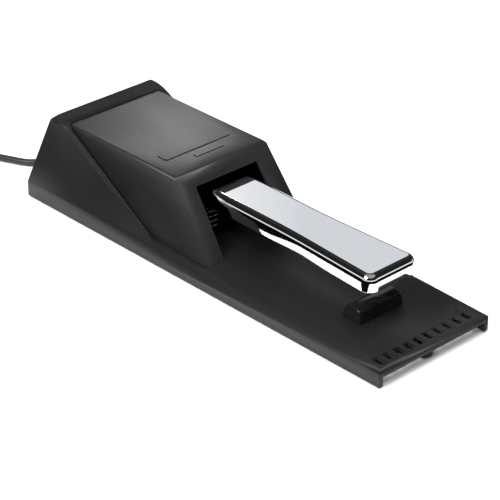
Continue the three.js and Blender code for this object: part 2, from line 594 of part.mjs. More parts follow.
// The lead drops to the floor behind the casing and runs into the coil's lowest outer turn. Its tail leaves
// the highest outer turn, crosses above the lead and curves round into the plug.
const LEAD_ROUTE = [[0, 147.3, 6.3], [-0.8, 151.6, 5.7], [-4.2, 156, 4.3], [-9.2, 160, 2.9],
  [-14.7, 164.4, 2.2], [-18.2, 169.4, 2.1], [-20.9, 175.2, 2.1], [-24.4, 183.2, 2.1], [-28.8, 194.6, 2.2],
  coilAt(OUTER_TURN.enters, OUTER_TURN.radius, -OUTER_TURN.clear, 2.6)];
const TAIL_ROUTE = [coilAt(OUTER_TURN.leaves, OUTER_TURN.radius, OUTER_TURN.clear, 13.6), [-26.6, 195.7, 11],
  [-16.4, 202.2, 7.2], [-9.8, 209.6, 4], [-7.6, 218.4, 2.4], [-8, 228.8, 2.2], [-10.8, 238, 2.8],
  [-15.4, 245.4, 4.7], [PLUG.x + 0.3, PLUG.y, PLUG.z]];

// A flat strap round the section of the coil
function cordTie() {
  const around = (space, corner) => rectangle(-COIL.outer - space, COIL.z0 - space, -COIL.inner + space,
    COIL.z1 + space, corner);
  const hoop = around(GAP + TIE.sheet, 1);
  hoop.holes.push(around(GAP, 0));
  return welded(alongY(hoop, -TIE.halfWidth, TIE.halfWidth)).rotateZ(THREE.MathUtils.degToRad(TIE.at))
    .translate(COIL.x, COIL.y, 0);
}

function cordCoil() {
  const { inner, outer, z0, z1, round } = COIL;
  const section = [[inner, z0 + round], [inner + round, z0], [outer - round, z0], [outer, z0 + round],
    [outer, z1 - round], [outer - round, z1], [inner + round, z1], [inner, z1 - round], [inner, z0 + round]];
  return spun(section, 40).translate(COIL.x, COIL.y, 0);
}

// The plug's pieces are turned about +Z, with the cord entering at height 0, and then laid down.
const plugPieces = {
  plug_boot: {
    profile: [[2.3, 0], [3.2, 0], [4.6, 12], [4.6, 14.7], [2.3, 14.7], [2.3, 0]],
    material: 'plugGrip',
  },
  plug_grip: {
    profile: [[0, 15], [5.4, 15], [6.4, 17], [6.4, 40], [5.6, 42], [5.6, 44.7], [0, 44.7]],
    material: 'plugGrip',
  },
  plug_sleeve: {
    profile: [[0, 45], [4.2, 45], [4.2, 46.4], [3.17, 46.4], [3.17, 63.7], [0, 63.7]],
    material: 'nickel',
  },
  plug_insulator: {
    profile: [[0, 63.9], [3.1, 63.9], [3.1, 65.1], [0, 65.1]],
    material: 'blackWire',
  },
  plug_tip: {
    profile: [[0, 65.3], [3.1, 65.3], [3.1, 67], [2.3, 68.6], [3.1, 70.6], [2.9, 72.4], [1.2, 76.4], [0, 77]],
    material: 'nickel',
  },
};

// Assembly

const pedal = new THREE.Group();
pedal.name = 'sustain_pedal';

add(pedal, 'base_casing', baseCasing(), finish.casing);
add(pedal, 'upper_cover', upperCover(), finish.cover);

const plateHoles = sides.flatMap(([, side]) =>
  CASING_SCREWS.ys.map((y) => rodZ(side * CASING_SCREWS.x, y, SCREW.clear, 1, 5, 12)));
const bottomSheet = alongZ(rectangle(-BOTTOM.halfX, BOTTOM.y0, BOTTOM.halfX, BOTTOM.y1, BOTTOM.corner),
  BOTTOM.z0, BOTTOM.z1);
add(pedal, 'bottom_plate', cut(bottomSheet, ...plateHoles), finish.steel);

const rows = ['front', 'middle', 'rear'];
for (const [label, side] of sides) {
  CASING_SCREWS.ys.forEach((y, i) => {
    const screw = panScrew(plateTop(y) - 2 - BOTTOM.z0);
    screw.translate(side * CASING_SCREWS.x, y, BOTTOM.z0 - 0.05);
    add(pedal, `casing_screw_${rows[i]}_${label}`, screw, finish.steel);
  });
  PAD.ys.forEach((y, i) => {
    const pad = rodZ(side * PAD.x, y, PAD.radius, 0, PAD.height, 24);
    add(pedal, `rubber_foot_${['front', 'rear'][i]}_${label}`, pad, finish.rubber);
  });
  const coverScrew = panScrew(12).translate(side * POST.x, POST.y, FLOOR_UNDER - FIT);
  add(pedal, `cover_screw_${label}`, coverScrew, finish.steel);
  add(pedal, `pin_clip_${label}`, retainingClip(side), finish.springSteel);
}
const centreFootTop = plateTop(FRONT_FOOT.y - FRONT_FOOT.radius) - SLAB - FIT;
const centreFoot = rodZ(0, FRONT_FOOT.y, FRONT_FOOT.radius, 0, centreFootTop, 24);
add(pedal, 'front_centre_foot', centreFoot, finish.rubber);

add(pedal, 'pivot_bracket', pivotBracket(), finish.steel);
add(pedal, 'pivot_pin', pivotPin(), finish.steel);
const downward = (length, x, y, z) => panScrew(length).rotateX(Math.PI).translate(x, y, z);
BRACKET_SCREW_YS.forEach((y, i) => {
  const head = FLOOR_TOP + 2 * FIT + BRACKET.sheet;
  add(pedal, `bracket_screw_${['front', 'rear'][i]}`, downward(8, 0, y, head), finish.steel);
});

const swing = new THREE.Group();
swing.position.set(0, PIVOT_Y, PIVOT_Z);
swing.rotation.x = REST_TILT;
pedal.add(swing);
add(swing, 'pedal_lever', pedalLever(), finish.chrome);
for (const [label, side] of sides) add(swing, `pivot_bush_${label}`, pivotBush(side), finish.nylon);
const pusherY = PUSHER.y - PIVOT_Y;
const underLever = LEVER.top - LEVER.sheet - FIT;
add(swing, 'switch_pusher', box(-PUSHER.halfX, PUSHER.halfX, pusherY - PUSHER.halfY, pusherY + PUSHER.halfY,
  PUSHER.bottom, underLever), finish.nylon);
const cup = springSeat().rotateX(Math.PI).translate(0, SPRING.y - PIVOT_Y, underLever);
add(swing, 'spring_cup', cup, finish.nylon);

add(pedal, 'spring_seat', springSeat().translate(0, SPRING.y, WELL.floor + FIT), finish.nylon);
add(pedal, 'return_spring', returnSpring(), finish.springSteel);
add(pedal, 'toe_bumper', toeBumper(), finish.softRubber);
const feltBottom = leverTopAt(FELT.y0) + GAP;
const felt = box(-FELT.halfX, FELT.halfX, FELT.y0, FELT.y1, feltBottom, feltBottom + FELT.thickness);
add(pedal, 'rest_stop_felt', felt, finish.felt);

add(pedal, 'switch_body', switchBody(), finish.switchBody);
add(pedal, 'switch_leaf', switchLeaf(), finish.springSteel);
const plunger = rodZ(0, PLUNGER.y, PLUNGER.radius, PLUNGER.bottom, PLUNGER.top, 14);
add(pedal, 'switch_plunger', plunger, finish.redWire);
add(pedal, 'switch_bracket', switchBracket(), finish.steel);
SWITCH.holeYs.forEach((y, i) => {
  add(pedal, `switch_screw_${['front', 'rear'][i]}`, sideScrew(y), finish.steel);
});
SWITCH_FOOT.screwYs.forEach((y, i) => {
  const head = FLOOR_TOP + 2 * FIT + SWITCH_FOOT.sheet;
  const screw = downward(8, SWITCH_FOOT.screwX, y, head);
  add(pedal, `switch_bracket_screw_${['front', 'rear'][i]}`, screw, finish.steel);
});
const blade = (y) => box(-0.25, 0.25, y - 1.6, y + 1.6, SWITCH.bottom - 5, SWITCH.bottom - FIT);
add(pedal, 'terminal_open', blade(49), finish.brass);
add(pedal, 'terminal_common', blade(63), finish.brass);

add(pedal, 'strain_relief', strainRelief(), finish.rubber);
add(pedal, 'cord_inside', rodY(0, CORD_Z, CORD_RADIUS, 106, RELIEF_END_Y - 2 * GAP), finish.cord);
add(pedal, 'cable_clamp', cableClamp(), finish.steel);
const clampScrew = panScrew(5.4).translate(CLAMP.screwX, CLAMP.y, clampTop - CLAMP.sheet - FIT);
add(pedal, 'clamp_screw', clampScrew, finish.steel);
const commonRoute = [[-0.9, 105.6, 6.6], [-1, 102.4, 8.6], [-1.2, 100.6, 13], [-3.5, 96.5, 17.6],
  [-6, 88, 18.2], [-6, 76, 18], [-2.5, 68, 16.6], [0, 63, 16.1]];
const openRoute = [[0.9, 105.6, 6.6], [1, 102.4, 8.6], [1.2, 100.6, 13], [4, 96.5, 17.6], [7.6, 88, 18.2],
  [7.6, 66, 18], [5, 54, 16.8], [0, 49, 16.1]];
add(pedal, 'wire_common', hose(commonRoute, 0.6, 28, 6), finish.redWire);
add(pedal, 'wire_open', hose(openRoute, 0.6, 30, 6), finish.blackWire);

add(pedal, 'cord_lead', hose(LEAD_ROUTE, CORD_RADIUS, 24, 10), finish.cord);
add(pedal, 'cord_coil', cordCoil(), finish.cord);
add(pedal, 'cord_tie', cordTie(), finish.blackWire);
add(pedal, 'cord_tail', hose(TAIL_ROUTE, CORD_RADIUS, 30, 10), finish.cord);

const plug = new THREE.Group();
plug.position.set(PLUG.x, PLUG.y, PLUG.z);
plug.rotation.z = THREE.MathUtils.degToRad(PLUG.heading);
pedal.add(plug);
for (const [name, { profile, material }] of Object.entries(plugPieces)) {
  add(plug, name, spun(profile, 18).rotateX(-Math.PI / 2), finish[material]);
}

export default pedal;
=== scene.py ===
"""Looks for a piano-style sustain pedal: a chrome foot lever on a long black moulded base.

Metres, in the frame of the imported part: +X is the width, the toe end faces -Y, the lead leaves at +Y,
and z = 0 is the floor that the rubber feet stand on.
"""

import math

import bmesh
import bpy
from mathutils import Matrix, Vector


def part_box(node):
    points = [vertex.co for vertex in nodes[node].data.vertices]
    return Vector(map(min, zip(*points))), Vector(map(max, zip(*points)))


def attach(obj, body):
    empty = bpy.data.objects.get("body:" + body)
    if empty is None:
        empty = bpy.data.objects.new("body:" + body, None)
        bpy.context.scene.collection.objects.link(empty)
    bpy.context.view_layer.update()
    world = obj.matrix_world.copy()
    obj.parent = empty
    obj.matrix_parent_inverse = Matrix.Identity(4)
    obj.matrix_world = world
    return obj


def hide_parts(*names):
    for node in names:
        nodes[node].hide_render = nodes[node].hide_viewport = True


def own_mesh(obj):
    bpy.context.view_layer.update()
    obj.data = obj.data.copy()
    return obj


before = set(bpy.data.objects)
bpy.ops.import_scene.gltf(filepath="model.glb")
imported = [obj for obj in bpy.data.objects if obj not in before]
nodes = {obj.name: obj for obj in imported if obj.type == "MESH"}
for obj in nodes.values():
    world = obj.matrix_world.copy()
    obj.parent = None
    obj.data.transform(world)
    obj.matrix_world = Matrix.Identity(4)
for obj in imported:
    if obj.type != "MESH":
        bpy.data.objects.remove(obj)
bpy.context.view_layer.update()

MM = 0.001

# Camera: it looks at a point in millimetres, from a distance in metres back along a direction
CAMERA_TARGET = (3.62, 0, 4.41)
CAMERA_BACK = (-0.5964, -0.6356, 0.4901)
CAMERA_DISTANCE = 1.12019
CAMERA_LENS = 151.19

# Foot lever, in millimetres in its own frame: the pivot axis is the origin, and the tilt is in degrees.
# LIP rounds the foot of its walls, as (inset, rise) points
PIVOT = (0, 80, 36.5)
REST_TILT = 0.83
LEVER = {"half": 15.2, "tip_half": 18.3, "flare_from": -127, "flare_blend": 12, "front": -188.5, "rear": 11,
         "top": 6.8, "depth": 9.6, "sheet": 1.6, "edge": 4.2, "corner": 6}
LIP = [(0.55, 0), (0.2, 0.12), (0.04, 0.35), (0, 0.7)]
CORNER_STEPS = 12
BLEND_STEPS = 6
OUTER_STEPS = 14
INNER_STEPS = 6
LUG_RADIUS = 6.4
LUG_SINK = 0.01
BORE_RADIUS = 3.3
BORE_REACH = 20

# Return spring, in millimetres; "closed" is the part of a turn that lies shut at each end, at a pitch of
# SPRING_SHUT wires
SPRING = {"y": 29, "radius": 5.85, "wire": 0.65, "low": 10.85, "high": 38.31, "turns": 8.32, "closed": 0.75}
SPRING_SHUT = 1.02
SPRING_SIDES = 12
SPRING_STEPS = 32

# Housing, in millimetres; RIM bounds the groove and ridge along the slanted rim of the base
COVER_TOP = 53.6
COVER_FRONT_TOP_Y = 24
BARS_HALF = 28
BODY_HEIGHT = 58
HALF_WIDTH = 39.5
TOP_HALF_WIDTH = 35.3
BAND_TOP = 9.4
DRAFT = (HALF_WIDTH - TOP_HALF_WIDTH) / (BODY_HEIGHT - BAND_TOP)
RIM = {"front": 33, "rear": 111, "low": 14, "inner": 31}

# Toe bumper, in millimetres
BUMPER = {"y": -93.9, "foot_x": 15.6, "foot_y": 6.5, "top_x": 14.7, "top_y": 5.2, "top": 17.5, "crown": 0.9}
BUMPER_STRIPS = 12
BUMPER_EDGE = 0.45

# Lead, coil and plug, in millimetres and degrees; the lead's whole length is in metres
CORD_DIAMETER = 4
CORD_EXIT = (0, 147, 6.3)
COIL = {"x": -66, "y": 208, "first": 24.6, "last": 300, "outer": 30.3, "inner": 20.2, "low": 3.15,
        "row": 4.05}
COIL_TURNS = 9
COIL_ROWS = 4
COIL_STEP = 0.07
POINTS_PER_TURN = 18
PLUG = (-21.5, 248.3, 6.6)
PLUG_HEADING = 90

# Mesh clean-up: metres within which points are one, and degrees within which faces are one
WELD = 2e-6
SEAM_WELD = 1e-7
FLAT_ANGLE = 0.6

# Degrees beyond which an edge is rounded or shaded as a sharp one
MOULDED_SHARP = 24
FOOT_SHARP = 40
TURNED_SHARP = 28
LEVER_SHARP = 40
BUMPER_SHARP = 30

# The range that a noise texture usually keeps to
NOISE_LOW = 0.3
NOISE_HIGH = 0.7


def scaled(point):
    """A point in millimetres, in metres."""
    return Vector(point) * MM


# Mesh helpers


def new_piece(name, mesh_or_curve, body, material):
    """An object that rides a body and has one material in a named slot."""
    piece = bpy.data.objects.new(name, mesh_or_curve)
    bpy.context.scene.collection.objects.link(piece)
    mesh_or_curve.materials.clear()
    mesh_or_curve.materials.append(material)
    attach(piece, body)
    return piece


def mesh_from(work, name, smooth=True):
    """The working mesh as a finished one, with its faces turned outwards."""
    bmesh.ops.recalc_face_normals(work, faces=work.faces)
    mesh = bpy.data.meshes.new(name)
    work.to_mesh(mesh)
    work.free()
    mesh.polygons.foreach_set("use_smooth", [smooth] * len(mesh.polygons))
    return mesh


def weighted(piece):
    """Keeps flat faces flat and rounds the shading only across their edges."""
    modifier = piece.modifiers.new("even_shading", "WEIGHTED_NORMAL")
    modifier.keep_sharp = True
    return piece


def skin_rings(work, rings):
    """Faces between each ring of points and the next."""
    made = [[work.verts.new(p) for p in ring] for ring in rings]
    count = len(rings[0])
    for lower, upper in zip(made, made[1:]):
        for i in range(count):
            j = (i + 1) % count
            work.faces.new((lower[i], lower[j], upper[j], upper[i]))
    return made


def lathe(profile, sides=48):
    """A closed body of revolution about +Z from (radius, height) points; a zero radius closes an end."""
    work = bmesh.new()
    rings = []
    for radius, height in profile:
        if radius == 0:
            rings.append([work.verts.new((0, 0, height * MM))])
        else:
            rings.append([
                work.verts.new((
                    radius * MM * math.cos(2 * math.pi * i / sides),
                    radius * MM * math.sin(2 * math.pi * i / sides),
                    height * MM,
                ))
                for i in range(sides)
            ])
    for lower, upper in zip(rings, rings[1:]):
        for i in range(sides):
            j = (i + 1) % sides
            below = [lower[i % len(lower)], lower[j % len(lower)]]
            above = [upper[j % len(upper)], upper[i % len(upper)]]
            work.faces.new(list(dict.fromkeys(below + above)))
    bmesh.ops.remove_doubles(work, verts=work.verts, dist=SEAM_WELD)
    return work


def softened(node, name, body, material, width, angle=MOULDED_SHARP, weight=None):
    """A copy of a CAD node with rounded edges, which stands for it.

    width is in millimetres, on the edges sharper than angle in degrees. weight, if given, takes the middle
    of an edge in millimetres and says how much of the width that edge gets.
    """
    work = bmesh.new()
    work.from_mesh(nodes[node].data)
    bmesh.ops.remove_doubles(work, verts=work.verts, dist=WELD)
    bmesh.ops.dissolve_limit(work, angle_limit=math.radians(FLAT_ANGLE), verts=work.verts, edges=work.edges)
    clean = bmesh.new()
    copies = {v: clean.verts.new(v.co) for v in work.verts}
    for face in work.faces:
        clean.faces.new([copies[v] for v in face.verts])
    work.free()
    if weight:
        layer = clean.edges.layers.float.new("bevel_weight_edge")
        for edge in clean.edges:
            sharp = len(edge.link_faces) == 2 and edge.calc_face_angle() > math.radians(angle)
            edge[layer] = weight((edge.verts[0].co + edge.verts[1].co) / 2 / MM) if sharp else 0
    piece = new_piece(name, mesh_from(clean, name), body, material)
    bevel = piece.modifiers.new("edge_radius", "BEVEL")
    bevel.width = width * MM
    bevel.segments = 3
    bevel.use_clamp_overlap = False
    bevel.miter_outer = "MITER_ARC"
    if weight:
        bevel.limit_method = "WEIGHT"
    else:
        bevel.limit_method = "ANGLE"
        bevel.angle_limit = math.radians(angle)
    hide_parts(node)
    return weighted(piece)


# Camera


def make_camera():
    """A long lens, high up in front of the toe end and to the left."""
    camera = bpy.data.objects.new("camera", bpy.data.cameras.new("camera"))
    bpy.context.scene.collection.objects.link(camera)
    back = Vector(CAMERA_BACK)
    camera.location = scaled(CAMERA_TARGET) + back * CAMERA_DISTANCE
    camera.rotation_mode = "QUATERNION"
    camera.rotation_quaternion = back.to_track_quat("Z", "Y")
    camera.data.sensor_width = 36
    camera.data.lens = CAMERA_LENS
    camera.data.clip_start = 0.01
    camera.data.clip_end = 50
    bpy.context.scene.camera = camera


# Materials


class Nodes:
    """A material's node tree, with the principled shader and short ways to add to it."""

    def __init__(self, name, base, roughness, metallic=0.0, specular=0.5):
        self.material = bpy.data.materials.new(name)
        self.material.use_nodes = True
        self.tree = self.material.node_tree
        self.shader = self.tree.nodes["Principled BSDF"]
        self.set("Base Color", (*base, 1))
        self.set("Roughness", roughness)
        self.set("Metallic", metallic)
        self.set("Specular IOR Level", specular)
        self.where = self.add("ShaderNodeTexCoord").outputs["Object"]

    def add(self, kind, **settings):
        node = self.tree.nodes.new(kind)
        for key, value in settings.items():
            setattr(node, key, value)
        return node

    def set(self, socket, value):
        self.shader.inputs[socket].default_value = value

    def link(self, output, target):
        self.tree.links.new(output, target)

    def noise(self, scale, detail=3.0, stretch=(1, 1, 1)):
        """A noise whose features are about 1 / scale metres across."""
        mapping = self.add("ShaderNodeMapping")
        mapping.inputs["Scale"].default_value = stretch
        self.link(self.where, mapping.inputs["Vector"])
        texture = self.add("ShaderNodeTexNoise")
        texture.inputs["Scale"].default_value = scale
        texture.inputs["Detail"].default_value = detail
        self.link(mapping.outputs["Vector"], texture.inputs["Vector"])
        return texture.outputs["Fac"]

    def spread(self, value, low, high):
        """A noise, from its usual range, as a number from low to high."""
        node = self.add("ShaderNodeMapRange")
        node.inputs["From Min"].default_value = NOISE_LOW
        node.inputs["From Max"].default_value = NOISE_HIGH
        node.inputs["To Min"].default_value = low
        node.inputs["To Max"].default_value = high
        self.link(value, node.inputs["Value"])
        return node.outputs["Result"]

    def vary_colour(self, value, dark, light):
        """The base colour, from dark at 0 to light at 1."""
        mix = self.add("ShaderNodeMix", data_type="RGBA")
        self.link(value, mix.inputs["Factor"])
        mix.inputs["A"].default_value = (*dark, 1)
        mix.inputs["B"].default_value = (*light, 1)
        self.link(mix.outputs["Result"], self.shader.inputs["Base Color"])

    def vary_roughness(self, value, low, high):
        """The roughness, from low to high over a noise's usual range."""
        self.link(self.spread(value, low, high), self.shader.inputs["Roughness"])

    def bump(self, value, distance):
        """distance is the height in millimetres between the value's lows and highs."""
        node = self.add("ShaderNodeBump")
        node.inputs["Distance"].default_value = distance * MM
        node.inputs["Strength"].default_value = 1
        self.link(value, node.inputs["Height"])
        self.link(node.outputs["Normal"], self.shader.inputs["Normal"])


def moulded_plastic(name, base, roughness, grain=0.02, grain_scale=2600, specular=0.5):
    """Moulded plastic with a fine spark-eroded texture and faint flow marks."""
    made = Nodes(name, base, roughness, specular=specular)
    flow = made.noise(28, 2, (1, 0.35, 1))
    fine = made.noise(grain_scale, 2)
    dark = tuple(c * 0.86 for c in base)
    light = tuple(c * 1.18 for c in base)
    made.vary_colour(made.spread(flow, 0, 1), dark, light)
    made.vary_roughness(flow, roughness - 0.03, roughness + 0.04)
    made.bump(fine, grain)
    return made.material


def soft_rubber(name, base, roughness, grain):
    """Black rubber, a little cloudy, with a fine grain."""
    made = Nodes(name, base, roughness, specular=0.45)
    cloud = made.noise(90, 3)
    made.vary_colour(made.spread(cloud, 0, 1), tuple(c * 0.8 for c in base), tuple(c * 1.25 for c in base))
    made.vary_roughness(cloud, roughness - 0.05, roughness + 0.07)
    made.bump(made.noise(1400, 3), grain)
    return made.material


def chrome():
    """Bright chrome with a faint haze and the slight waves of a polished pressing."""
    made = Nodes("polished_chrome", (0.9, 0.905, 0.915), 0.04, metallic=1)
    haze = made.noise(35, 3, (1, 0.4, 1))
    made.vary_roughness(haze, 0.025, 0.06)
    made.bump(made.noise(55, 1, (1, 0.3, 1)), 0.004)
    return made.material


def plated_steel(name, base, roughness, brushed=(1, 1, 1)):
    """Bare or plated metal; brushed stretches its fine streaks along an axis."""
    made = Nodes(name, base, roughness, metallic=1)
    streak = made.noise(420, 3, brushed)
    made.vary_colour(made.spread(streak, 0, 1), tuple(c * 0.82 for c in base), base)
    made.vary_roughness(streak, roughness - 0.06, roughness + 0.1)
    made.bump(streak, 0.004)
    return made.material


def wool_felt():
    """Grey felt with short matted fibres."""
    made = Nodes("grey_felt", (0.1, 0.1, 0.097), 0.95, specular=0.2)
    fibre = made.noise(1500, 6, (1, 0.4, 1))
    made.vary_colour(made.spread(fibre, 0, 1), (0.06, 0.06, 0.058), (0.17, 0.17, 0.165))
    made.bump(fibre, 0.3)
    made.set("Sheen Weight", 0.4)
    return made.material


def floor_paper():
    """White background paper, very slightly uneven."""
    made = Nodes("white_studio_floor", (0.9, 0.9, 0.9), 0.8, specular=0.1)
    made.vary_colour(made.spread(made.noise(3, 2), 0, 1), (0.895, 0.895, 0.895), (0.905, 0.905, 0.905))
    return made.material


FINISH = {
    "casing": moulded_plastic("matt_black_moulding", (0.011, 0.011, 0.0105), 0.47, specular=0.4),
    "cover": moulded_plastic("satin_black_moulding", (0.013, 0.013, 0.0126), 0.44, specular=0.46, grain=0.07,
                             grain_scale=700),
    "chrome": chrome(),
    "steel": plated_steel("zinc_plated_steel", (0.56, 0.57, 0.58), 0.34, (1, 0.05, 1)),
    "screw": plated_steel("screw_steel", (0.5, 0.5, 0.5), 0.28),
    "spring": plated_steel("spring_steel", (0.4, 0.4, 0.41), 0.16),
    "foot_rubber": soft_rubber("foot_rubber", (0.012, 0.012, 0.012), 0.72, grain=0.05),
    "bumper_rubber": soft_rubber("bumper_rubber", (0.008, 0.008, 0.008), 0.17, grain=0.003),
    "felt": wool_felt(),
    "nylon": moulded_plastic("natural_nylon", (0.66, 0.63, 0.55), 0.42, grain=0.01),
    "switch_case": moulded_plastic("switch_case", (0.05, 0.014, 0.01), 0.35, grain=0.01),
    "brass": plated_steel("brass", (0.66, 0.45, 0.16), 0.25, (1, 0.1, 1)),
    "red": moulded_plastic("red_plastic", (0.38, 0.012, 0.012), 0.4, grain=0.01),
    "cord": moulded_plastic("cord_pvc", (0.016, 0.016, 0.017), 0.42, grain=0.012, grain_scale=1500),
    "flag": moulded_plastic("black_flag_cloth", (0.004, 0.004, 0.004), 0.9, specular=0),
    "tie": moulded_plastic("tie_nylon", (0.013, 0.013, 0.013), 0.5, grain=0.02),
    "grip": moulded_plastic("plug_grip_plastic", (0.012, 0.012, 0.013), 0.38, grain=0.015),
    "nickel": plated_steel("nickel_plate", (0.72, 0.7, 0.66), 0.12),
}

CAD_FINISH = {
    "screw": [n for n in nodes if "screw" in n],
    "steel": ["bottom_plate", "pivot_bracket", "pivot_pin", "switch_bracket", "cable_clamp"],
    "spring": ["pin_clip_left", "pin_clip_right", "switch_leaf"],
    "nylon": ["pivot_bush_left", "pivot_bush_right", "switch_pusher"],
    # The spring seat takes the black tie nylon in place of natural nylon as painted shade, to keep it dark
    # deep inside the mouth
    "tie": ["spring_cup", "spring_seat"],
    "felt": ["rest_stop_felt"],
    "switch_case": ["switch_body"],
    "brass": ["terminal_open", "terminal_common"],
    "red": ["switch_plunger", "wire_common"],
    "cord": ["cord_inside", "wire_open"],
}


def dress_cad_nodes():
    """Gives the CAD nodes that stay as they are their materials."""
    for finish, names in CAD_FINISH.items():
        for name in names:
            for slot in nodes[name].material_slots:
                slot.material = FINISH[finish]


# Lead, coil and plug


def coil_at(angle, radius, along, height):
    """A point at an angle round the coil, and some way along the turn's own direction from there."""
    a = math.radians(angle)
    return (
        COIL["x"] + radius * math.cos(a) - along * math.sin(a),
        COIL["y"] + radius * math.sin(a) + along * math.cos(a),
        height,
    )


LEAD_ROUTE = [
    (0, 147.3, 6.3), (-0.8, 151.6, 5.7), (-4.2, 156, 4.3), (-9.2, 160, 2.9), (-14.7, 164.4, 2.2),
    (-18.2, 169.4, 2.1), (-20.9, 175.2, 2.1), (-24.4, 183.2, 2.1), (-28.8, 194.6, 2.2),
    coil_at(COIL["first"], COIL["outer"], -17.7, 2.6),
]
TAIL_ROUTE = [
    coil_at(COIL["last"], COIL["outer"], 17.7, 13.6), (-26.6, 195.7, 11), (-16.4, 202.2, 7.2),
    (-9.8, 209.6, 4), (-7.6, 218.4, 2.4), (-8, 228.8, 2.2), (-10.8, 238, 2.8), (-15.4, 245.4, 4.7),
    (PLUG[0] + 0.3, PLUG[1], PLUG[2]),
]


def coil_route():
    """Four flat rows of turns, wound inwards, outwards, inwards and outwards, each on the one before.

    A row is left and the next one reached over COIL_STEP of a row on either side of the change.
    """
    sweep = 360 * COIL_TURNS + COIL["last"] - COIL["first"]
    count = round(sweep / 360 * POINTS_PER_TURN)
    route = []
    for i in range(count + 1):
        share = i / count * COIL_ROWS
        row = min(int(share), COIL_ROWS - 1)
        part = share - row
        inward = part if row % 2 == 0 else 1 - part
        radius = COIL["outer"] + (COIL["inner"] - COIL["outer"]) * inward
        level = row
        if part > 1 - COIL_STEP and row < COIL_ROWS - 1:
            level += (part - 1 + COIL_STEP) / (2 * COIL_STEP)
        elif part < COIL_STEP and row > 0:
            level += (part + COIL_STEP) / (2 * COIL_STEP) - 1
        height = COIL["low"] + COIL["row"] * level
        route.append(coil_at(COIL["first"] + sweep * i / count, radius, 0, height))
    return route


def cord_curve():
    """The whole lead, from the strain relief through the coil to the plug, as one smooth curve."""
    route = LEAD_ROUTE + coil_route() + TAIL_ROUTE
    curve = bpy.data.curves.new("lead", "CURVE")
    curve.dimensions = "3D"
    curve.bevel_depth = CORD_DIAMETER / 2 * MM
    curve.bevel_resolution = 4
    curve.resolution_u = 4
    curve.use_fill_caps = True
    spline = curve.splines.new("BEZIER")
    spline.bezier_points.add(len(route) - 1)
    for point, place in zip(spline.bezier_points, route):
        point.co = scaled(place)
        point.handle_left_type = point.handle_right_type = "AUTO"
    return new_piece("lead", curve, "base", FINISH["cord"])


def plug_matrix():
    """The plug lies along its heading, with the cord entering at height 0 of its own +Z."""
    turn = Matrix.Rotation(math.radians(PLUG_HEADING), 4, "Z")
    return Matrix.Translation(scaled(PLUG)) @ turn @ Matrix.Rotation(-math.pi / 2, 4, "X")


def turned_piece(name, profile, matrix, material, replaced, sides=48):
    """A lathed piece of the base, placed by a matrix, which stands for a CAD node."""
    work = lathe(profile, sides)
    bmesh.ops.transform(work, matrix=matrix, verts=work.verts)
    for edge in work.edges:
        if len(edge.link_faces) == 2 and edge.calc_face_angle() > math.radians(TURNED_SHARP):
            edge.smooth = False
    piece = new_piece(name, mesh_from(work, name), "base", material)
    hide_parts(replaced)
    return weighted(piece)


def ribbed(count, start, end, radius_start, radius_end, groove):
    """A tapering row of rounded ribs as (radius, height) points."""
    points = []
    pitch = (end - start) / count
    for i in range(count):
        base = start + i * pitch
        radius = radius_start + (radius_end - radius_start) * (i + 0.5) / count
        points += [
            (radius - groove, base + 0.05 * pitch), (radius - 0.25 * groove, base + 0.22 * pitch),
            (radius, base + 0.4 * pitch), (radius, base + 0.6 * pitch),
            (radius - 0.25 * groove, base + 0.78 * pitch), (radius - groove, base + 0.95 * pitch),
        ]
    return points


def plug_pieces():
    """The boot, grip, sleeve, insulator and tip of the jack plug, from (radius, height) points."""
    place = plug_matrix()
    boot = [(2.3, 14.7), (2.3, 0), (3.0, 0)] + ribbed(6, 0.4, 12.2, 3.4, 4.5, 0.55)
    boot += [(4.6, 12.5), (4.6, 14.5), (4.4, 14.7), (2.3, 14.7)]
    grip = [(0, 15), (5.2, 15), (5.5, 15.3)] + ribbed(1, 15.6, 18.6, 6.2, 6.2, 0.4)
    grip += ribbed(12, 18.8, 38.6, 6.38, 6.38, 0.45)
    grip += [(6.3, 39.2), (6.3, 40.6), (5.8, 41.6), (5.6, 42.2), (5.6, 44.4), (5.3, 44.7), (0, 44.7)]
    sleeve = [(0, 45), (4.0, 45), (4.2, 45.2), (4.2, 46.2), (4.05, 46.4), (3.17, 46.4), (3.17, 63.5),
              (2.97, 63.7), (0, 63.7)]
    insulator = [(0, 63.9), (3.0, 63.9), (3.1, 64.0), (3.1, 65.0), (3.0, 65.1), (0, 65.1)]
    tip = [(0, 65.3), (2.95, 65.3), (3.1, 65.45), (3.1, 66.7), (2.9, 67.3), (2.42, 68.1), (2.3, 68.6),
           (2.42, 69.1), (2.85, 70.0), (3.06, 70.6), (3.1, 71.2), (2.95, 72.2), (2.5, 73.6), (1.75, 75.4),
           (1.2, 76.3), (0.6, 76.85), (0, 77)]
    plastic, nickel = FINISH["grip"], FINISH["nickel"]
    return [
        turned_piece("plug_boot_ribbed", boot, place, plastic, "plug_boot"),
        turned_piece("plug_grip_ribbed", grip, place, plastic, "plug_grip", 60),
        turned_piece("plug_sleeve_turned", sleeve, place, nickel, "plug_sleeve"),
        turned_piece("plug_insulator_ring", insulator, place, plastic, "plug_insulator"),
        turned_piece("plug_tip_turned", tip, place, nickel, "plug_tip"),
    ]


def strain_relief():
    """A flanged bush in the rear wall with a tapering, ribbed tail."""
    place = Matrix.Translation(scaled((0, 0, CORD_EXIT[2]))) @ Matrix.Rotation(-math.pi / 2, 4, "X")
    profile = [(2.3, 130.6), (4.1, 130.6), (4.4, 130.9), (4.4, 133.2), (4.1, 133.5), (3.1, 133.5),
               (3.1, 136.9), (4.0, 136.9), (4.2, 137.1), (4.2, 137.9), (4.0, 138.2)]
    profile += ribbed(5, 138.3, 146.4, 4.0, 3.0, 0.45)
    profile += [(2.7, 146.8), (2.6, 147), (2.3, 147), (2.3, 130.6)]
    rubber = FINISH["foot_rubber"]
    turned_piece("strain_relief_ribbed", profile, place, rubber, "strain_relief")


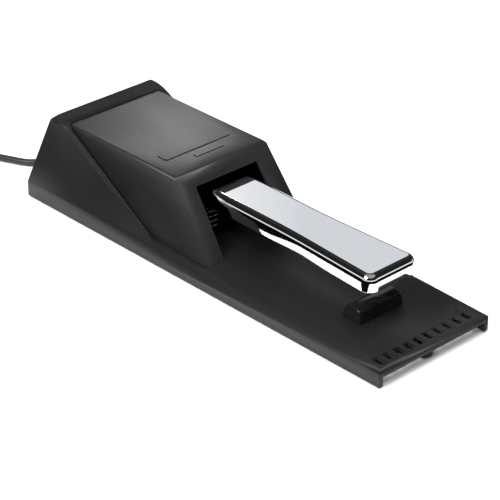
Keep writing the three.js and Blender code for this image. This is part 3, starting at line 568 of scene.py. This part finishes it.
def make_lead():
    """The lead with its strain relief, tie and plug."""
    lead = cord_curve()
    strain_relief()
    tie = softened("cord_tie", "coil_tie", "base", FINISH["tie"], 0.25)
    plug = plug_pieces()
    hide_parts("cord_lead", "cord_coil", "cord_tail")


# Foot lever


def lever_plan(inset):
    """The lever's outline, set in from its skin, as (x, y) points counter-clockwise from the front right."""
    half, tip = LEVER["half"] - inset, LEVER["tip_half"] - inset
    front, rear = LEVER["front"] + inset, LEVER["rear"] - inset
    corner = max(LEVER["corner"] - inset, 1)
    lean = math.atan2(tip - half, LEVER["flare_from"] - front)

    def arc(x, y, start, end):
        turn = math.radians(end - start) / CORNER_STEPS
        angles = [math.radians(start) + turn * i for i in range(CORNER_STEPS + 1)]
        return [(x + corner * math.cos(a), y + corner * math.sin(a)) for a in angles]

    def blend():
        """Points down the right side, from before the flare to after it, on a parabola between the two."""
        reach = LEVER["flare_blend"]
        ahead = Vector((half + reach * math.sin(lean), LEVER["flare_from"] - reach * math.cos(lean)))
        knee = Vector((half, LEVER["flare_from"]))
        behind = Vector((half, LEVER["flare_from"] + reach))
        shares = [i / BLEND_STEPS for i in range(BLEND_STEPS + 1)]
        return [tuple(ahead.lerp(knee, t).lerp(knee.lerp(behind, t), t)) for t in shares]

    right = arc(tip - corner * (1 + math.sin(lean)), front + corner, -90, math.degrees(lean))
    right += blend() + arc(half - corner, rear - corner, 0, 90)
    return right + [(-x, y) for x, y in reversed(right)]


def quarter(inset0, z0, inset1, z1, steps):
    """A quarter ellipse from a vertical wall at inset0 up to a level face at z1."""
    angles = [math.pi / 2 * i / steps for i in range(steps + 1)]
    return [(inset1 + (inset0 - inset1) * math.cos(a), z0 + (z1 - z0) * math.sin(a)) for a in angles]


def lever_skin():
    """The drawn channel: an outer and an inner skin over one plan, joined round the lip at the foot."""
    foot = LEVER["top"] - LEVER["depth"]
    sheet, edge, top = LEVER["sheet"], LEVER["edge"], LEVER["top"]
    outer = [(inset, foot + rise) for inset, rise in LIP]
    outer += quarter(0, top - edge, edge, top, OUTER_STEPS)
    inner = [(sheet - inset, foot + rise) for inset, rise in LIP]
    inner += quarter(sheet, top - edge, edge + 0.2, top - sheet, INNER_STEPS)

    def ring(inset, z):
        return [scaled((x, y, z)) for x, y in lever_plan(inset)]

    work = bmesh.new()
    rings = [ring(*p) for p in reversed(inner)] + [ring(*p) for p in outer]
    made = skin_rings(work, rings)
    work.faces.new(made[0])
    work.faces.new(made[-1])
    return mesh_from(work, "lever_skin")


def chrome_lever():
    """The channel, whose walls reach down as round lugs at the pivot, with a bore through both."""
    place = Matrix.Translation(scaled(PIVOT)) @ Matrix.Rotation(math.radians(REST_TILT), 4, "X")
    mesh = lever_skin()
    mesh.transform(place)
    piece = new_piece("chrome_lever", mesh, "lever", FINISH["chrome"])
    outside = LEVER["half"] - LUG_SINK
    inside = LEVER["half"] - LEVER["sheet"] + LUG_SINK
    wall_top = LEVER["top"] - LEVER["edge"] - LUG_SINK

    def disc(name, radius, x0, x1, top=None):
        """A short cylinder on the pivot axis, cut level at top if that is given."""
        work = lathe([(0, x0), (radius, x0), (radius, x1), (0, x1)])
        bmesh.ops.transform(work, matrix=Matrix.Rotation(math.pi / 2, 4, "Y"), verts=work.verts)
        if top is not None:
            everything = [*work.verts, *work.edges, *work.faces]
            bmesh.ops.bisect_plane(work, geom=everything, plane_co=(0, 0, top * MM), plane_no=(0, 0, 1),
                                   clear_outer=True)
            bmesh.ops.holes_fill(work, edges=[edge for edge in work.edges if edge.is_boundary])
        bmesh.ops.transform(work, matrix=place, verts=work.verts)
        tool = bpy.data.objects.new(name, mesh_from(work, name))
        bpy.context.scene.collection.objects.link(tool)
        return tool

    combine(piece, [
        ("UNION", disc("lug_left", LUG_RADIUS, -outside, -inside, wall_top)),
        ("UNION", disc("lug_right", LUG_RADIUS, inside, outside, wall_top)),
        ("DIFFERENCE", disc("bore", BORE_RADIUS, -BORE_REACH, BORE_REACH)),
    ])
    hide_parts("pedal_lever")
    weighted(piece)


def combine(piece, tools):
    """Adds and cuts away the tools in turn, and marks the sharp edges that result."""
    material = piece.data.materials[0]
    for operation, tool in tools:
        modifier = piece.modifiers.new("cut", "BOOLEAN")
        modifier.operation = operation
        modifier.solver = "EXACT"
        modifier.object = tool
        bpy.context.view_layer.update()
        depsgraph = bpy.context.evaluated_depsgraph_get()
        result = bpy.data.meshes.new_from_object(piece.evaluated_get(depsgraph))
        piece.modifiers.remove(modifier)
        piece.data = result
        piece.data.materials.clear()
        piece.data.materials.append(material)
        bpy.data.objects.remove(tool)
    marked = bmesh.new()
    marked.from_mesh(piece.data)
    for edge in marked.edges:
        edge.smooth = not (len(edge.link_faces) == 2 and edge.calc_face_angle() > math.radians(LEVER_SHARP))
    marked.to_mesh(piece.data)
    marked.free()
    piece.data.polygons.foreach_set("use_smooth", [True] * len(piece.data.polygons))


# Return spring


def spring_wire():
    """A coil of round wire whose end turns close up on the seats."""
    closed = SPRING["closed"]
    turns = SPRING["turns"] + 2 * closed
    count = round(turns * SPRING_STEPS)
    low, high, wire = SPRING["low"], SPRING["high"], SPRING["wire"]
    shut_pitch = 2 * wire * SPRING_SHUT
    open_pitch = (high - low - 2 * closed * shut_pitch) / SPRING["turns"]

    def height(turn):
        if turn < closed:
            return low + shut_pitch * turn
        if turn > turns - closed:
            return high - shut_pitch * (turns - turn)
        return low + shut_pitch * closed + open_pitch * (turn - closed)

    centre = []
    for i in range(count + 1):
        turn = i / SPRING_STEPS
        x = SPRING["radius"] * math.cos(2 * math.pi * turn)
        y = SPRING["radius"] * math.sin(2 * math.pi * turn)
        centre.append(Vector((x, SPRING["y"] + y, height(turn))))
    work = bmesh.new()
    rings = []
    for i, point in enumerate(centre):
        ahead = (centre[min(i + 1, count)] - centre[max(i - 1, 0)]).normalized()
        out = Vector((point.x, point.y - SPRING["y"], 0)).normalized()
        up = ahead.cross(out).normalized()
        rings.append([
            (point + (out * math.cos(a) + up * math.sin(a)) * wire) * MM
            for a in (2 * math.pi * k / SPRING_SIDES for k in range(SPRING_SIDES))
        ])
    made = skin_rings(work, rings)
    work.faces.new(made[0])
    work.faces.new(list(reversed(made[-1])))
    piece = new_piece("spring_coil", mesh_from(work, "spring_coil"), "base", FINISH["spring"])
    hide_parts("return_spring")
    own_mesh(piece)


# Toe bumper


def bumper_block():
    """A tapered rubber block with fine edges, whose glossy top is crowned from front to back."""
    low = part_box("toe_bumper")[0].z / MM
    high = BUMPER["top"]
    edge_height = high - BUMPER["crown"]
    profile = [(-BUMPER["foot_y"], low)]
    for i in range(BUMPER_STRIPS + 1):
        across = 2 * i / BUMPER_STRIPS - 1
        profile.append((across * BUMPER["top_y"], edge_height + BUMPER["crown"] * (1 - across * across)))
    profile.append((BUMPER["foot_y"], low))
    work = bmesh.new()
    ends = []
    for side in (-1, 1):
        end = []
        for y, z in profile:
            share = min(1, (z - low) / (edge_height - low))
            x = BUMPER["foot_x"] + (BUMPER["top_x"] - BUMPER["foot_x"]) * share
            end.append(work.verts.new(scaled((side * x, BUMPER["y"] + y, z))))
        ends.append(end)
    left, right = ends
    for i in range(len(profile)):
        j = (i + 1) % len(profile)
        work.faces.new((left[i], left[j], right[j], right[i]))
    work.faces.new(left)
    work.faces.new(right)
    piece = new_piece("bumper_block", mesh_from(work, "bumper_block"), "base",
                      FINISH["bumper_rubber"])
    bevel = piece.modifiers.new("edge_radius", "BEVEL")
    bevel.width = BUMPER_EDGE * MM
    bevel.segments = 3
    bevel.limit_method = "ANGLE"
    bevel.angle_limit = math.radians(BUMPER_SHARP)
    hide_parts("toe_bumper")
    weighted(piece)


# Housing


def casing_half(z):
    """Half the casing's width at a height."""
    return HALF_WIDTH - max(0, z - BAND_TOP) * DRAFT


def base_edge(middle):
    """How round a base edge is: fine along the groove and ridge of the slanted rim, full elsewhere."""
    on_rim = RIM["front"] < middle.y < RIM["rear"] and middle.z > RIM["low"]
    inside_skin = RIM["inner"] < abs(middle.x) < casing_half(middle.z) - 0.5
    return 0.3 if on_rim and inside_skin else 0.8


def cover_edge(middle):
    """How round a cover edge is: widest along the top of the front face, fine round the raised bars."""
    on_front = middle.y < COVER_FRONT_TOP_Y
    on_bars = middle.z > COVER_TOP - 0.1 and abs(middle.x) < BARS_HALF and middle.y > COVER_FRONT_TOP_Y
    if on_bars:
        return 0.15
    return 1 if on_front and middle.z > COVER_TOP - 2 else 0.35


def make_housing():
    """The base, the cover and the rubber feet, each its CAD node with rounded edges."""
    softened("base_casing", "moulded_base", "base", FINISH["casing"], 0.32, weight=base_edge)
    softened("upper_cover", "moulded_cover", "base", FINISH["cover"], 0.5, weight=cover_edge)
    feet = [n for n in nodes if "foot" in n]
    for node in feet:
        softened(node, f"{node}_pad", "base", FINISH["foot_rubber"], 0.3, angle=FOOT_SHARP)


# Studio

# Grey levels by the sine of the height, from the horizon at 0 to straight up at 1
SKY_BANDS = [
    (0, 0.015), (0.15, 0.015), (0.19, 0.9), (0.34, 0.9), (0.39, 0.015), (0.78, 0.015), (0.85, 0.4), (1, 0.3),
]
# Towards this side the bands give way to dark grey, between these two cosines
DARK_SIDE = (0.684, 0.729, 0)
DARK_EDGE = (0.25, 0.55)
DARK_LEVEL = (0.03, 0.03, 0.03, 1)
# The panel that the lever's flat top mirrors: its middle, its soft edge in degrees, and the direction in
# which it goes from dim to bright
PANEL_SIDE = (0.623, 0.617, 0.479)
PANEL_EDGE = (12, 7)
PANEL_ALONG = (-0.69, 0.72, 0)
PANEL_FADE = (0.01, 0.055)
PANEL_DIM = (0.7, 0.72, 0.75, 1)
PANEL_BRIGHT = (0.95, 0.96, 0.97, 1)
BACKDROP = (1, 1, 1, 1)

# Black cards beside and before the pedal, as corners in millimetres
SIDE_FLAG = [(-65, -230, 0.3), (-52, 250, 0.3), (-52, 250, 46), (-65, -230, 46)]
FRONT_FLAG = [(-71, -178, 1), (120, -178, 1), (120, -178, 46), (-71, -178, 46)]


def make_floor():
    """A wide level sheet at the height of the feet."""
    work = bmesh.new()
    bmesh.ops.create_grid(work, x_segments=8, y_segments=8, size=4)
    floor = bpy.data.objects.new("studio_floor", mesh_from(work, "studio_floor"))
    bpy.context.scene.collection.objects.link(floor)
    floor.data.materials.append(floor_paper())


def black_flag(name, corners):
    """A black card, there only for its reflection."""
    work = bmesh.new()
    work.faces.new([work.verts.new(scaled(corner)) for corner in corners])
    flag = bpy.data.objects.new(name, mesh_from(work, name, smooth=False))
    bpy.context.scene.collection.objects.link(flag)
    flag.data.materials.append(FINISH["flag"])
    flag.visible_camera = False
    flag.visible_diffuse = False
    flag.visible_shadow = False


def area_light(name, place, target, size, power, glossy=True):
    """A rectangular soft box in metres and watts, turned to a target and hidden from the camera."""
    light = bpy.data.lights.new(name, "AREA")
    light.shape = "RECTANGLE"
    light.size, light.size_y = size
    light.energy = power
    lamp = bpy.data.objects.new(name, light)
    bpy.context.scene.collection.objects.link(lamp)
    lamp.location = place
    lamp.rotation_mode = "QUATERNION"
    lamp.rotation_quaternion = (Vector(place) - Vector(target)).to_track_quat("Z", "Y")
    lamp.visible_glossy = glossy
    lamp.visible_camera = False


class Sky:
    """The world's node tree, with short ways to add to it."""

    def __init__(self, name):
        world = bpy.data.worlds.new(name)
        bpy.context.scene.world = world
        world.use_nodes = True
        self.tree = world.node_tree
        self.background = self.tree.nodes["Background"]
        self.where = self.tree.nodes.new("ShaderNodeTexCoord").outputs["Generated"]

    def towards(self, direction):
        """How far the view turns towards a direction, as the cosine of the angle between them."""
        node = self.tree.nodes.new("ShaderNodeVectorMath")
        node.operation = "DOT_PRODUCT"
        node.inputs[1].default_value = direction
        self.tree.links.new(self.where, node.inputs[0])
        return node.outputs["Value"]

    def share(self, value, low, high, interpolation="LINEAR"):
        """value as a share from 0 at low to 1 at high."""
        node = self.tree.nodes.new("ShaderNodeMapRange")
        node.interpolation_type = interpolation
        node.inputs["From Min"].default_value = low
        node.inputs["From Max"].default_value = high
        self.tree.links.new(value, node.inputs["Value"])
        return node.outputs["Result"]

    def mix(self, factor, *colours):
        """The first colour at factor 0 and the second at 1, each a fixed colour or a node's output."""
        node = self.tree.nodes.new("ShaderNodeMix")
        node.data_type = "RGBA"
        self.tree.links.new(factor, node.inputs["Factor"])
        for socket, colour in zip("AB", colours):
            if isinstance(colour, tuple):
                node.inputs[socket].default_value = colour
            else:
                self.tree.links.new(colour, node.inputs[socket])
        return node.outputs["Result"]

    def bands(self, stops):
        """Grey levels by height, from (height, level) stops."""
        split = self.tree.nodes.new("ShaderNodeSeparateXYZ")
        self.tree.links.new(self.where, split.inputs["Vector"])
        node = self.tree.nodes.new("ShaderNodeValToRGB")
        elements = node.color_ramp.elements
        while len(elements) < len(stops):
            elements.new(0.5)
        for element, (position, level) in zip(elements, stops):
            element.position = position
            element.color = (level, level, level, 1)
        self.tree.links.new(split.outputs["Z"], node.inputs["Fac"])
        return node.outputs["Color"]


def make_world():
    """Bands of light, with a bright panel on their dark side; the camera sees plain white instead."""
    sky = Sky("studio")
    bands = sky.bands(SKY_BANDS)
    sides = sky.mix(sky.share(sky.towards(DARK_SIDE), *DARK_EDGE), bands, DARK_LEVEL)
    edge = [math.cos(math.radians(angle)) for angle in PANEL_EDGE]
    on_panel = sky.share(sky.towards(Vector(PANEL_SIDE).normalized()), *edge, "SMOOTHSTEP")
    fade = sky.share(sky.towards(PANEL_ALONG), *PANEL_FADE)
    lit = sky.mix(on_panel, sides, sky.mix(fade, PANEL_DIM, PANEL_BRIGHT))
    path = sky.tree.nodes.new("ShaderNodeLightPath")
    seen = sky.mix(path.outputs["Is Camera Ray"], lit, BACKDROP)
    sky.tree.links.new(seen, sky.background.inputs["Color"])


def make_lights():
    """A wide fill overhead, a small box that glances off the cover's top, and a box on the left."""
    area_light("overhead_fill", (0, 0, 2.2), (0, 0, 0), (3.4, 3.4), 95, glossy=False)
    area_light("rear_box", (0.25, 0.347, 0.26), (0, 0.08, 0.0536), (0.07, 0.14), 0.24)
    area_light("left_box", (-0.8, 0.03, 0.88), (0, 0.05, 0.03), (0.5, 0.5), 12)


make_camera()
make_lead()
make_housing()
chrome_lever()
spring_wire()
bumper_block()
dress_cad_nodes()
make_floor()
black_flag("side_flag", SIDE_FLAG)
black_flag("front_flag", FRONT_FLAG)
make_world()
make_lights()
bpy.context.scene.view_settings.view_transform = "Standard"
